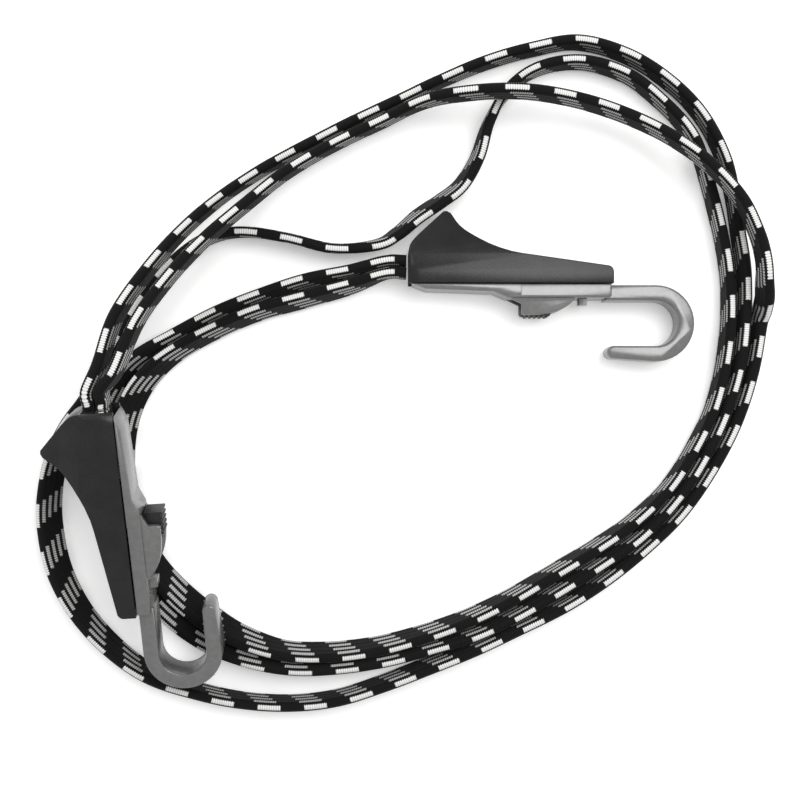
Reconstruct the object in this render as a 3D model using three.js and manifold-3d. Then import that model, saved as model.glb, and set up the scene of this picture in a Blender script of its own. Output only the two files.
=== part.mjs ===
// Bungee cord: a flat elastic strap that runs as one closed loop through two adjustable J hooks.
// Millimetres, +Z up. The origin is under the middle of the two hooks, on the surface they lie on.
// Each hook is drawn in a frame of its own: x runs from the strap's mouth towards the J, y from the
// J's throat towards the grip cover, z across the strap. hookPlaces then lays the hooks down.

import * as THREE from 'three';
import { mergeVertices } from 'three/addons/utils/BufferGeometryUtils.js';
import Module from 'manifold-3d';

const wasm = await Module();
wasm.setup();

// Strap
const strapWidth = 12;
const strapThickness = 4;
const strapEdge = 1.2;
const strapClearance = 0.5;
const stationsPerSpan = 2;

// Play between neighbouring pieces, and the overrun of a cut past the face it opens
const seatGap = 0.3;
const runningGap = 0.5;
const mouthGap = 0.7;
const overrun = 2;

// Beside the strap: the cavity's play, the bar's reach past the strap, and the hook's outer side
const cavityPlay = 0.6;
const barOverhang = 1.7;
const sideWall = 2.7;

// Hook body: the tray and bar under the cover, the J arm and the cheeks that guide the slider
const hook = {
  length: 78.4,
  halfDepth: strapWidth / 2 + sideWall,
  wall: 2.1,
  barInset: 0.4,
  barBottom: 5.6,
  barFront: 0.8,
  barRound: 1.6,
  trayLead: 1.4,
  trayToe: 6.8,
  trayRearDrop: 2.3,
  trayFrontDrop: 3.3,
  trayFront: 45.7,
  flareFoot: 40.3,
  edge: 0.8,
};
// Plan of the hook's rear end: [distance from the rear, how much narrower each side is]
const rearPlan = [[0, 1.6], [1.1, 0.8], [2.8, 0.2], [5, -0.05]];
const jArm = {
  halfDepth: 6,
  thickness: 6,
  outerRadius: 14.7,
  centreX: 16.6,
  topDrop: 0.5,
  tipX: 0.4,
  tipRise: 0.6,
  edge: 1,
  arcSteps: 20,
};
const cheek = {
  rear: 35.1,
  front: 14.6,
  bottom: 12.2,
  halfDepth: 7.4,
  innerHalf: 5.2,
  flareRear: 43,
  flareTop: 4,
  flareBottom: 7.8,
};
const lug = { front: 9.5, length: 3.1, bottom: 8.1, halfDepth: 3 };

// Grip cover: outline points as shares of its length and of its peak's height
const cover = {
  peakHeight: 28.3,
  frontHeight: 6.8,
  frontRound: 2.5,
  creaseLead: 7.8,
  creaseRearY: 5.1,
  creaseFrontX: -33.5,
  creaseFrontY: 10.7,
  cavityFront: 34.9664,
  cavityFrontHeight: 9.9616,
  channelFront: 25.8,
  channelTop: 5.2,
  channelHalf: 3.2,
  edge: 0.4,
};
const coverTopShares = [
  [0.064, 0.252], [0.23, 0.313], [0.41, 0.389], [0.508, 0.439], [0.606, 0.537], [0.69, 0.67],
  [0.735, 0.76], [0.767, 0.862], [0.79, 0.965], [0.82, 1], [0.846, 0.94], [0.885, 0.84], [0.935, 0.71],
  [0.977, 0.587], [0.994, 0.5], [1, 0.4],
];
const cavityTopShares = [
  [0.523, 0.398], [0.606, 0.5], [0.702, 0.643], [0.778, 0.8],
  [0.835, 0.875], [0.893, 0.745], [0.972, 0.457],
];
// The cover narrows above its crease, outside and inside: [height over the crease, how much narrower
// each side is there]
const coverFlanks = [[0, 0], [7, 0.8], [14, 3.5], [24, 6.6], [29, 7.8]];
const cavityFlanks = [[0, 0], [7, 0.1], [13, 2.7], [21, 5.2], [25, 6.1]];

// Strap's turn inside the hook, round a steel bar
const mouthX = -hook.length;
const mouthTo = { bar: 25.6, pivot: 9.4, teeth: 14.4 };
const turnBar = {
  x: mouthX + mouthTo.bar,
  y: 6.7,
  radius: 1.2,
  halfLength: strapWidth / 2 + barOverhang,
  sides: 20,
};
const strandSpread = 2.4;
const turnSteps = 10;
const topSteps = 26;

// Lock rocker on its pin, with teeth over the upper strand and a tail over the slider's ramp
const rocker = {
  pivotX: mouthX + mouthTo.pivot,
  pivotY: 17.3,
  hubRadius: 2.4,
  halfWidth: 2.6,
  armThickness: 1.6,
  tailBottom: 3.5,
  tailFront: -38,
  toothRear: mouthX + mouthTo.teeth,
  toothPitch: 1.7,
  toothDepth: 1.1,
  toothRoot: 0.8,
  teeth: 4,
  toothHalfWidth: 4.2,
};
const rockerPin = { radius: 1.1, halfLength: 5, sides: 20 };

// Release slider between the cheeks: its thumb block, the fin through the body's slot and the ramp
// that lifts the rocker's tail as the slider goes rearwards. Places are for the forward position.
const slider = {
  rear: 33.4,
  front: 23.9,
  top: 6.1,
  bottom: 12.9,
  halfDepth: 4.8,
  travel: 6,
  ribs: 5,
  ribDepth: 0.6,
  finRear: 31,
  finFront: 27.5,
  finHalf: 1.4,
  rampRear: 40.4,
  rampFront: 26.5,
  rampBottom: 0.3,
  rampSlope: 0.25,
  rampHalf: 2.6,
};
const screw = { x: -18.5, headRadius: 2.2, headHeight: 1.1, shankRadius: 1.1, shankLength: 8.5, recess: 1.6 };
const roundSides = 24;

// The two hooks on the surface: the place of the cover's lower front corner line, then the turns of
// the hook about the vertical, about its own cross axis and about its own length, in degrees, and how
// far its slider is back, as a share of the slider's travel
const hookPlaces = {
  one: { x: 90.04, y: 62.21, z: hook.halfDepth, heading: 0, dip: 0, roll: 0, flipped: false, slid: 0 },
  two: { x: -88.97, y: -60.61, z: 24.3, heading: -86.89, dip: 14.97, roll: -2, flipped: true, slid: 1 },
};

// The picture the strap was traced from: a camera straight above, its picture's middle pixel over
// (overX, overY), and the millimetres that one pixel covers on the floor
const photo = { middle: 400, height: 480, floorScale: 0.3945, overX: 8.54, overY: 17.61 };

// Strap between the hooks, from hook one to hook two, chosen by hand along its upper edge in the
// picture: [pixels across, pixels down, lean in degrees, height of its lower edge over the floor].
// A positive lean tips the upper edge to the right-hand side of the way the strap runs. Both ends
// are worked out from the hooks' mouths.
const floorGap = 0.4;
const strandRows = {
  long: [
    [351, 281.5, 12, 1], [303, 294, 16, 0], [256, 307, 16, 0], [213, 325, 16, 0], [171, 347, 20, 0],
    [142, 369, 30, 0], [123, 394, 38, 0], [112, 425, 41, 0], [109, 460, 40, 0], [113, 500, 36, 0],
    [125, 538, 36, 0], [144, 573, 40, 0], [168, 602, 46, 0], [199, 627.5, 46, 0], [234, 645, 31, 0],
    [279, 658, 20, 0], [325, 660.5, 20, 0], [374.5, 654.5, 18, 0], [421.5, 642, 16, 0],
    [468, 625, 14, 0], [511, 604, 12, 0], [553, 579, 10, 0], [596, 552.5, 8, 0], [635, 525, 6, 0],
    [671, 490, 4, 0], [696.5, 450.5, 3, 0], [716.5, 408, 2, 0], [728, 362, 2, 0], [733, 315, 2, 0],
    [731, 272, 0, 0], [725, 235, 0, 0], [714, 190, 0, 0], [697, 137, 0, 0], [666, 100, 0, 0],
    [627, 70.5, 0, 0], [580, 58, 0, 0], [537, 66, 0, 0], [508, 88, 0, 0], [491, 120, -6, 0],
    [482, 155, -14, 0], [466, 185.5, -20, 0], [445, 203, -22, 0], [421.5, 219, -22, 0],
    [399.5, 236, -18, 0], [377, 246, -12, 0], [332, 248, -6, 0], [284, 237, -6, 0], [240, 231, -4, 0],
    [205, 237, 0, 0], [177, 255, 4, 0], [153, 280, 6, 0], [132, 310, 8, 0], [115, 340, 10, 0],
    [99, 368.5, 12, 0], [81, 398.5, 14, 0], [62, 424, 18, 0], [48, 452, 24, 0], [39, 488, 30, 0],
    [37.5, 526, 34, 0], [47, 573, 34, 0], [70, 616, 28, 0], [103, 652, 22, 0], [144, 680, 14, 0],
    [189, 695, 8, 0], [236, 705, 6, 0], [286, 708.5, 6, 0], [335, 704, 8, 0], [382, 690, 10, 0],
    [430, 672, 12, 0], [477, 653, 12, 0], [521, 632, 10, 0], [565, 610, 8, 0], [606, 584, 8, 0],
    [645, 553, 8, 0], [683, 516, 8, 0], [714, 472, 8, 0], [739, 424, 8, 0], [756, 372, 8, 0],
    [765, 322, 8, 0], [770, 300, 5, 6], [770.5, 278, 3, 12.6], [768.5, 256, 1, 14.4],
    [761, 230, 0, 14], [744, 196, -2, 14], [712, 161, -2, 13.4], [671, 132, 0, 10],
    [625, 110, 2, 8], [577, 95, 2, 10], [527, 87, 2, 12.8], [476, 88, 2, 12.8], [426, 97.5, 0, 8],
    [379, 119.5, 0, 4], [332, 142, 0, 4], [286, 169, 0, 8], [244, 202, 0, 13], [203, 237, 0, 19],
    [166, 276, 0, 27], [134, 320, 0, 34], [112, 370, 0, 39],
  ],
  short: [
    [350, 268, 8, 1], [304, 277, 12, 0], [258, 292, 14, 0], [214, 309.5, 16, 0], [169, 333, 20, 0],
    [131, 354.5, 28, 0], [106, 383, 36, 0], [91, 420, 41, 0], [90, 460, 40, 0], [96, 500, 36, 0],
    [110, 543, 36, 0], [130, 584, 40, 0], [160, 620, 46, 0], [201, 650, 50, 0], [249, 667, 29, 0],
    [295, 673.5, 19, 0], [342, 671.5, 18, 0], [389, 664, 16, 0], [436, 651, 14, 0], [478, 638, 12, 0],
    [520, 618, 10, 0], [562, 593, 9, 0], [606, 565, 8, 0], [645.5, 536.5, 7, 0],
    [681.5, 497.5, 6, 0], [708, 456.5, 5, 0], [728.5, 412, 3, 0], [742.5, 365, 3, 0],
    [748, 316, 3, 0], [748, 270, 2, 0], [742, 230, 0, 0], [736, 190, 0, 0], [726, 152, 0, 0],
    [703, 110, 0, 0], [669, 76, 0, 0], [628, 51, 0, 0], [580, 38, 0, 0], [534, 45, 0, 0],
    [487, 58.5, 0, 0], [441, 78, -2, 0], [397, 99, -3, 0], [352, 120, -3, 0], [307, 143, -3, 0],
    [262, 167.5, -3, 0], [218, 197, -3, 5], [178, 231.5, -2, 15], [142, 272, 0, 25],
    [112, 316, 0, 34], [95.5, 364.5, 0, 39],
  ],
};

// Straight lengths of strap outside each hook's mouth
const leadOuts = { one: [0, 8], two: [0, 2, 6] };

// Finishes
const finishes = {
  grip: { color: 0x222225, roughness: 0.55, metalness: 0 },
  nylon: { color: 0x8f9094, roughness: 0.5, metalness: 0 },
  steel: { color: 0xb4b6b9, roughness: 0.35, metalness: 1 },
  slider: { color: 0x1b1b1d, roughness: 0.5, metalness: 0 },
  strap: { color: 0x262629, roughness: 0.85, metalness: 0 },
};

const degrees = THREE.MathUtils.degToRad;

function solidOf(geometry) {
  const bare = geometry.index ? geometry.toNonIndexed() : geometry.clone();
  bare.deleteAttribute('normal');
  bare.deleteAttribute('uv');
  const merged = mergeVertices(bare, 1e-4);
  return new wasm.Manifold(new wasm.Mesh({
    numProp: 3,
    vertProperties: Float32Array.from(merged.attributes.position.array),
    triVerts: Uint32Array.from(merged.index.array),
  }));
}

function geometryOf(solid) {
  const mesh = solid.getMesh();
  const geometry = new THREE.BufferGeometry();
  geometry.setAttribute('position', new THREE.BufferAttribute(new Float32Array(mesh.vertProperties), 3));
  geometry.setIndex(new THREE.BufferAttribute(new Uint32Array(mesh.triVerts), 1));
  return geometry;
}

function named(name, geometry, finish) {
  const mesh = new THREE.Mesh(geometry, new THREE.MeshStandardMaterial(finishes[finish]));
  mesh.name = name;
  return mesh;
}

// A plate of a side outline, its thickness centred on middleZ, its rims rounded by edge
function plate(shape, halfDepth, edge = 0, middleZ = 0, curveSegments = 12) {
  const geometry = new THREE.ExtrudeGeometry(shape, {
    depth: 2 * (halfDepth - edge),
    bevelEnabled: edge > 0,
    bevelThickness: edge,
    bevelSize: edge,
    bevelOffset: -edge,
    bevelSegments: 2,
    curveSegments,
    steps: 1,
  });
  geometry.translate(0, 0, middleZ - halfDepth + edge);
  return solidOf(geometry);
}

function outline(points) {
  return new THREE.Shape(points.map(([x, y]) => new THREE.Vector2(x, y)));
}

function block(x0, x1, y0, y1, z0, z1) {
  const geometry = new THREE.BoxGeometry(x1 - x0, y1 - y0, z1 - z0);
  geometry.translate((x0 + x1) / 2, (y0 + y1) / 2, (z0 + z1) / 2);
  return solidOf(geometry);
}

// A round pin along the hook's cross axis, or upright in it
function crossPin(x, y, radius, halfLength, sides) {
  const geometry = new THREE.CylinderGeometry(radius, radius, 2 * halfLength, sides);
  geometry.rotateX(Math.PI / 2);
  geometry.translate(x, y, 0);
  return solidOf(geometry);
}

function uprightPin(x, y0, y1, radius, sides) {
  const geometry = new THREE.CylinderGeometry(radius, radius, y1 - y0, sides);
  geometry.translate(x, (y0 + y1) / 2, 0);
  return solidOf(geometry);
}

function arcPoints(cx, cy, radius, from, to, steps) {
  return Array.from({ length: steps + 1 }, (_, i) => {
    const a = from + (to - from) * i / steps;
    return [cx + radius * Math.cos(a), cy + radius * Math.sin(a)];
  });
}

// Strap: a flat band with softened edges swept along stations, each with its place and width axis
function bandSection() {
  const side = strapThickness / 2;
  const rim = strapWidth / 2;
  const inner = side - strapEdge;
  const shoulder = rim - strapEdge;
  return [[side, -shoulder], [side, shoulder], [inner, rim], [-inner, rim],
    [-side, shoulder], [-side, -shoulder], [-inner, -rim], [inner, -rim]];
}

function bandFrames(places, leanOf) {
  const up = new THREE.Vector3(0, 0, 1);
  return places.map((place, i) => {
    const ahead = places[Math.min(i + 1, places.length - 1)];
    const behind = places[Math.max(i - 1, 0)];
    const along = new THREE.Vector3().subVectors(ahead, behind).normalize();
    const side = new THREE.Vector3().crossVectors(along, up).normalize();
    const rise = new THREE.Vector3().crossVectors(side, along);
    const lean = degrees(leanOf(i));
    const width = rise.clone().multiplyScalar(Math.cos(lean)).addScaledVector(side, Math.sin(lean));
    const face = side.clone().multiplyScalar(Math.cos(lean)).addScaledVector(rise, -Math.sin(lean));
    return { place, along, width, face };
  });
}

function bandGeometry(frames) {
  const section = bandSection();
  const count = section.length;
  const positions = [];
  const faces = [];
  for (const { place, width, face } of frames) {
    for (const [a, b] of section) {
      const point = place.clone().addScaledVector(face, a).addScaledVector(width, b);
      positions.push(point.x, point.y, point.z);
    }
  }
  for (let i = 0; i + 1 < frames.length; i += 1) {
    for (let j = 0; j < count; j += 1) {
      const a = i * count + j;
      const b = i * count + (j + 1) % count;
      faces.push(a, a + count, b, b, a + count, b + count);
    }
  }
  const last = (frames.length - 1) * count;
  for (let j = 1; j + 1 < count; j += 1) {
    faces.push(0, j, j + 1, last, last + j + 1, last + j);
  }
  const geometry = new THREE.BufferGeometry();
  geometry.setAttribute('position', new THREE.Float32BufferAttribute(positions, 3));
  geometry.setIndex(faces);
  return geometry;
}

function underCamera(across, down, z) {
  const scale = photo.floorScale * (1 - z / photo.height);
  return [photo.overX + (across - photo.middle) * scale, photo.overY + (photo.middle - down) * scale];
}

// The strap's middle under each traced point of its upper edge, as rows of [x, y, z, lean]
function middleRows(traced) {
  const tops = traced.map(([across, down, lean, lift]) => {
    const rise = strapWidth / 2 * Math.cos(degrees(lean));
    const z = floorGap + lift + rise + strapThickness / 2 * Math.abs(Math.sin(degrees(lean)));
    return new THREE.Vector3(...underCamera(across, down, z + rise), z);
  });
  return tops.map((top, i) => {
    const ahead = tops[Math.min(i + 1, tops.length - 1)];
    const behind = tops[Math.max(i - 1, 0)];
    const along = new THREE.Vector2(ahead.x - behind.x, ahead.y - behind.y).normalize();
    const lean = traced[i][2];
    const shift = strapWidth / 2 * Math.sin(degrees(lean));
    return [top.x - shift * along.y, top.y + shift * along.x, top.z, lean];
  });
}

// Points along a smooth curve through hand-chosen rows of [x, y, z, lean]
function strandFrames(rows) {
  const places = new THREE.CatmullRomCurve3(rows.map((row) => new THREE.Vector3(...row.slice(0, 3))),
    false, 'catmullrom');
  const leans = new THREE.CatmullRomCurve3(rows.map((row) => new THREE.Vector3(row[3], 0, 0)),
    false, 'catmullrom');
  const count = (rows.length - 1) * stationsPerSpan;
  return bandFrames(places.getPoints(count), (i) => leans.getPoint(i / count).x);
}

// Least gap between two strands, or of one to itself, measured on the band's own points
function leastGap(frames, others, skip = 0) {
  const section = bandSection();
  let least = Infinity;
  frames.forEach((frame, i) => section.forEach(([a, b]) => {
    const point = frame.place.clone().addScaledVector(frame.face, a).addScaledVector(frame.width, b);
    others.forEach((other, j) => {
      if (skip > 0 && Math.abs(i - j) < skip) return;
      const reach = point.clone().sub(other.place);
      const reachAlong = Math.abs(reach.dot(other.along));
      if (reach.length() > 2 * strapWidth || reachAlong > strapWidth / 2) return;
      const out = Math.abs(reach.dot(other.face)) - strapThickness / 2;
      const over = Math.abs(reach.dot(other.width)) - strapWidth / 2;
      const gap = Math.hypot(Math.max(out, 0), Math.max(over, 0)) + Math.min(Math.max(out, over), 0);
      least = Math.min(least, gap);
    });
  }));
  return least;
}

// Where things are in the hook's own frame
const turnRadius = turnBar.radius + seatGap + strapThickness / 2;
const strandLevel = (side) => turnBar.y + side * strandSpread;
const upperStrandTop = (x) => {
  const share = (x - mouthX) / (turnBar.x - mouthX);
  return turnBar.y + strandSpread + share * (turnRadius - strandSpread) + strapThickness / 2;
};
const creaseRearX = mouthX + cover.creaseLead;
const creaseSlope = (cover.creaseFrontY - cover.creaseRearY) / (cover.creaseFrontX - creaseRearX);

function coverOutline() {
  const top = new THREE.SplineCurve(coverTopShares.map(([along, up]) => (
    new THREE.Vector2(-along * hook.length, up * cover.peakHeight))));
  const round = arcPoints(-cover.frontRound, cover.frontHeight - cover.frontRound, cover.frontRound,
    0, Math.PI / 2, 5);
  return outline([[0, 0], ...round, ...top.getPoints(topSteps).map(({ x, y }) => [x, y]), [-hook.length, 0]]);
}

function cavityOutline() {
  const front = [-cover.cavityFront, cover.cavityFrontHeight];
  const top = [front, ...cavityTopShares.map(([along, up]) => (
    [-along * hook.length, up * cover.peakHeight]))];
  return outline([[top[0][0], -overrun], ...top, [top[top.length - 1][0], -overrun]]);
}

// A beam along the cover's crease whose flanks lean inwards above it
function flankedBeam(flanks, widest) {
  const depthBelow = cover.peakHeight + hook.barBottom;
  const half = flanks.map(([up, inset]) => [up, widest - inset]);
  const section = new THREE.Shape();
  section.moveTo(-depthBelow, -half[0][1]);
  half.forEach(([up, out]) => section.lineTo(up, -out));
  [...half].reverse().forEach(([up, out]) => section.lineTo(up, out));
  section.lineTo(-depthBelow, half[0][1]);
  const length = 3 * hook.length;
  const geometry = new THREE.ExtrudeGeometry(section, { depth: length, bevelEnabled: false, steps: 1 });
  geometry.translate(0, 0, -length / 2);
  const toBeam = new THREE.Matrix4().makeBasis(new THREE.Vector3(0, 1, 0), new THREE.Vector3(0, 0, 1),
    new THREE.Vector3(1, 0, 0));
  geometry.applyMatrix4(toBeam);
  geometry.rotateZ(Math.atan(creaseSlope));
  geometry.translate(creaseRearX, cover.creaseRearY, 0);
  return solidOf(geometry);
}

// The hook's rear end narrows in plan; this is the space that it leaves to the cover and the body
function rearTrim() {
  const side = rearPlan.map(([ahead, inset]) => [-hook.length + ahead, hook.halfDepth - inset]);
  const far = hook.length / 2;
  const shape = outline([...side, [far, hook.halfDepth + hook.edge], [far, -hook.halfDepth - hook.edge],
    ...[...side].reverse().map(([x, half]) => [x, -half])]);
  const height = 2 * cover.peakHeight;
  const geometry = new THREE.ExtrudeGeometry(shape, { depth: 2 * height, bevelEnabled: false, steps: 1 });
  geometry.rotateX(Math.PI / 2);
  geometry.translate(0, height, 0);
  return solidOf(geometry);
}

function gripCover() {
  const innerHalf = strapWidth / 2 + cavityPlay;
  const mouthTop = strandLevel(1) + strapThickness / 2 + strapClearance;
  const mouth = block(mouthX - overrun, mouthX + hook.wall + overrun, -overrun, mouthTop,
    -strapWidth / 2 - strapClearance, strapWidth / 2 + strapClearance);
  const slotHalf = turnBar.radius + seatGap;
  const slotReach = turnBar.halfLength + seatGap;
  const barSlot = block(turnBar.x - slotHalf, turnBar.x + slotHalf, -overrun, turnBar.y, -slotReach, slotReach)
    .add(crossPin(turnBar.x, turnBar.y, slotHalf, slotReach, turnBar.sides));
  const pinBore = crossPin(rocker.pivotX, rocker.pivotY, rockerPin.radius + seatGap,
    rockerPin.halfLength + seatGap, rockerPin.sides);
  const screwBore = uprightPin(screw.x, -overrun, screwTop() + seatGap, screw.shankRadius + seatGap,
    roundSides);
  const channel = block(-slider.rampRear, -cover.channelFront, -overrun, cover.channelTop,
    -cover.channelHalf, cover.channelHalf);
  return plate(coverOutline(), hook.halfDepth, cover.edge)
    .intersect(flankedBeam(coverFlanks, hook.halfDepth))
    .intersect(rearTrim())
    .subtract(plate(cavityOutline(), innerHalf).intersect(flankedBeam(cavityFlanks, innerHalf)))
    .subtract(mouth)
    .subtract(barSlot)
    .subtract(pinBore)
    .subtract(screwBore)
    .subtract(channel);
}

const screwSeat = () => -hook.barBottom + screw.recess;
const screwTop = () => screwSeat() + screw.shankLength;

function jOutline() {
  const { centreX, outerRadius, topDrop, thickness, tipX, tipRise } = jArm;
  const centreY = -topDrop - outerRadius;
  const innerRadius = outerRadius - thickness;
  const root = -hook.barFront - overrun;
  const turn = Math.PI / 2;
  const bottomTilt = tipRise / (centreX - tipX);
  const outer = arcPoints(centreX, centreY, outerRadius, turn, -turn - bottomTilt, jArm.arcSteps);
  const tipY = centreY - (outerRadius - thickness / 2) + tipRise;
  const tip = arcPoints(tipX, tipY, thickness / 2 - jArm.edge / 2, -turn, -3 * turn, 8);
  const inner = arcPoints(centreX, centreY, innerRadius, -turn - bottomTilt, turn, jArm.arcSteps);
  return outline([[root, -topDrop], ...outer, ...tip, ...inner, [root, -topDrop - thickness]]);
}

function cheekOutline() {
  const { rear, front, bottom, flareRear, flareTop, flareBottom } = cheek;
  const shape = new THREE.Shape();
  shape.moveTo(-flareRear, -flareTop);
  shape.lineTo(-rear, -flareBottom);
  shape.lineTo(-rear, -bottom + hook.barRound);
  shape.quadraticCurveTo(-rear, -bottom, -rear + hook.barRound, -bottom);
  shape.bezierCurveTo(-(rear + front) / 2, -bottom, -front - lug.length, -bottom + hook.barRound,
    -front, -hook.barBottom);
  shape.lineTo(-front, -flareTop);
  return shape;
}

function hookBody() {
  const { length, halfDepth, barInset, barBottom, barFront, barRound, trayFront, flareFoot } = hook;
  const top = -seatGap;
  const tray = plate(outline([[-length + hook.trayLead, top], [-length + hook.trayToe, -hook.trayRearDrop],
    [-trayFront, -hook.trayFrontDrop], [-flareFoot, -barBottom + hook.edge],
    [-cheek.rear, -barBottom + hook.edge], [-cheek.rear, top]]), halfDepth, hook.edge).intersect(rearTrim());
  const bar = new THREE.Shape();
  bar.moveTo(-trayFront, top);
  bar.lineTo(-trayFront, -hook.trayFrontDrop);
  bar.lineTo(-flareFoot, -barBottom);
  bar.lineTo(-barFront - barRound, -barBottom);
  bar.quadraticCurveTo(-barFront, -barBottom, -barFront, -barBottom + barRound);
  bar.lineTo(-barFront, top);
  const cheeks = plate(cheekOutline(), cheek.halfDepth, hook.edge / 2)
    .subtract(block(-cheek.flareRear - overrun, -cheek.front + overrun, -cheek.bottom - overrun, -barBottom,
      -cheek.innerHalf, cheek.innerHalf));
  const foot = block(-lug.front - lug.length, -lug.front, -lug.bottom, -barBottom + hook.edge,
    -lug.halfDepth, lug.halfDepth);
  const finSlot = block(-slider.finRear - slider.travel - runningGap, -slider.finFront + runningGap,
    -barBottom - overrun, overrun, -slider.finHalf - seatGap, slider.finHalf + seatGap);
  const headRecess = uprightPin(screw.x, -barBottom - overrun, screwSeat(), screw.headRadius + seatGap,
    roundSides);
  const screwBore = uprightPin(screw.x, -barBottom - overrun, overrun, screw.shankRadius + seatGap,
    roundSides);
  return tray
    .add(plate(bar, halfDepth - barInset, hook.edge))
    .add(cheeks)
    .add(foot)
    .add(plate(jOutline(), jArm.halfDepth, jArm.edge))
    .subtract(finSlot)
    .subtract(headRecess)
    .subtract(screwBore);
}

// The ramp lifts the tail by slope times the slider's way, while the tail's tip also swings forward
const tailReach = rocker.tailFront - rocker.pivotX;
const tailDrop = rocker.pivotY - rocker.tailBottom;
const rockerLift = slider.rampSlope * slider.travel / (tailReach - slider.rampSlope * tailDrop);

function lockRocker() {
  const { pivotX, pivotY, hubRadius, armThickness, tailBottom, tailFront, toothRear, toothPitch, teeth } = rocker;
  const turnTop = turnBar.y + turnRadius + strapThickness / 2 + runningGap;
  const legRear = turnBar.x + turnRadius + strapThickness / 2 + 2 * runningGap;
  const toothFront = toothRear + teeth * toothPitch;
  const shoulder = (turnBar.x + legRear) / 2;
  const half = armThickness / 2;
  const arm = outline([
    [pivotX, pivotY - hubRadius + half / 2],
    [toothFront, turnTop + half],
    [turnBar.x, turnTop],
    [shoulder, turnTop - half],
    [legRear, turnBar.y + strapThickness / 2],
    [legRear, tailBottom],
    [tailFront, tailBottom],
    [tailFront, tailBottom + armThickness],
    [legRear + armThickness, tailBottom + armThickness],
    [legRear + armThickness, turnBar.y + strapThickness / 2 + half],
    [shoulder + half, turnTop + half / 2],
    [turnBar.x + half, turnTop + armThickness],
    [toothFront, turnTop + 2 * armThickness],
    [pivotX, pivotY + hubRadius],
  ]);
  const tips = [];
  for (let i = 0; i < teeth; i += 1) {
    const x = toothRear + i * toothPitch;
    const tip = upperStrandTop(x) + runningGap;
    tips.push([x, tip], [x + toothPitch, tip + rocker.toothDepth]);
  }
  const toothTop = turnTop + rocker.toothRoot + half;
  const toothBlock = plate(outline([...tips, [toothFront, toothTop], [toothRear, toothTop]]),
    rocker.toothHalfWidth);
  const neck = plate(outline([[toothRear, turnTop + half / 2], [toothFront, turnTop + half / 2],
    [toothFront, turnTop + armThickness], [pivotX + hubRadius / 2, pivotY], [pivotX, pivotY - hubRadius / 2]]),
  rocker.halfWidth);
  return plate(arm, rocker.halfWidth)
    .add(crossPin(pivotX, pivotY, hubRadius, rocker.halfWidth, roundSides))
    .add(neck)
    .add(toothBlock)
    .subtract(crossPin(pivotX, pivotY, rockerPin.radius + seatGap, rocker.halfWidth + overrun, rockerPin.sides));
}

function releaseSlider() {
  const { rear, front, top, bottom, ribs, ribDepth, rampRear, rampFront, rampBottom, rampSlope } = slider;
  const pitch = (rear - front) / ribs;
  const ribbed = [];
  for (let i = 0; i < ribs; i += 1) {
    const x = -rear + i * pitch;
    ribbed.push([x, -bottom], [x + pitch / 2, -bottom], [x + pitch / 2, -bottom + ribDepth],
      [x + pitch, -bottom + ribDepth]);
  }
  const rampTop = (x) => rocker.tailBottom - seatGap + rampSlope * (x - rocker.tailFront);
  const rampHigh = rocker.tailFront + slider.travel;
  return plate(outline([[-rear, -top], ...ribbed, [-front, -top]]), slider.halfDepth)
    .add(block(-slider.finRear, -slider.finFront, -top - overrun, rampBottom + seatGap, -slider.finHalf,
      slider.finHalf))
    .add(plate(outline([[-rampRear, rampBottom], [-rampFront, rampBottom], [-rampFront, rampTop(rampHigh)],
      [rampHigh, rampTop(rampHigh)], [-rampRear, rampTop(-rampRear)]]), slider.rampHalf));
}

function coverScrew() {
  const head = uprightPin(screw.x, screwSeat() - screw.headHeight - seatGap, screwSeat() - seatGap,
    screw.headRadius, roundSides);
  return head.add(uprightPin(screw.x, screwSeat() - screw.headHeight, screwTop(), screw.shankRadius,
    roundSides));
}

// The stretch of strap inside the hook: in along the lower side, round the bar, out along the upper
function strapTurn() {
  const quarter = Math.PI / 2;
  const bend = arcPoints(turnBar.x, turnBar.y, turnRadius, -quarter, quarter, turnSteps);
  const places = [[mouthX, strandLevel(-1)], ...bend, [mouthX, strandLevel(1)]]
    .map(([x, y]) => new THREE.Vector3(x, y, 0));
  return bandGeometry(bandFrames(places, () => 0));
}

function placeMatrix({ x, y, z, heading, dip, roll, flipped }) {
  const a = degrees(heading);
  const d = degrees(dip);
  const r = degrees(roll);
  const side = flipped ? -1 : 1;
  const along = new THREE.Vector3(Math.cos(a) * Math.cos(d), Math.sin(a) * Math.cos(d), -Math.sin(d));
  const across = new THREE.Vector3(-Math.sin(a) * side, Math.cos(a) * side, 0);
  const through = new THREE.Vector3().crossVectors(along, across);
  const up = across.clone().multiplyScalar(Math.cos(r)).addScaledVector(through, Math.sin(r));
  const over = new THREE.Vector3().crossVectors(along, up);
  return new THREE.Matrix4().makeBasis(along, up, over).setPosition(x, y, z);
}

// The rocker turned about its pin, and the slider moved, by the same share of their travel
function turnedRocker(slid) {
  const { pivotX, pivotY } = rocker;
  return lockRocker().translate([-pivotX, -pivotY, 0])
    .rotate([0, 0, THREE.MathUtils.radToDeg(slid * rockerLift)])
    .translate([pivotX, pivotY, 0]);
}

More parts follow.
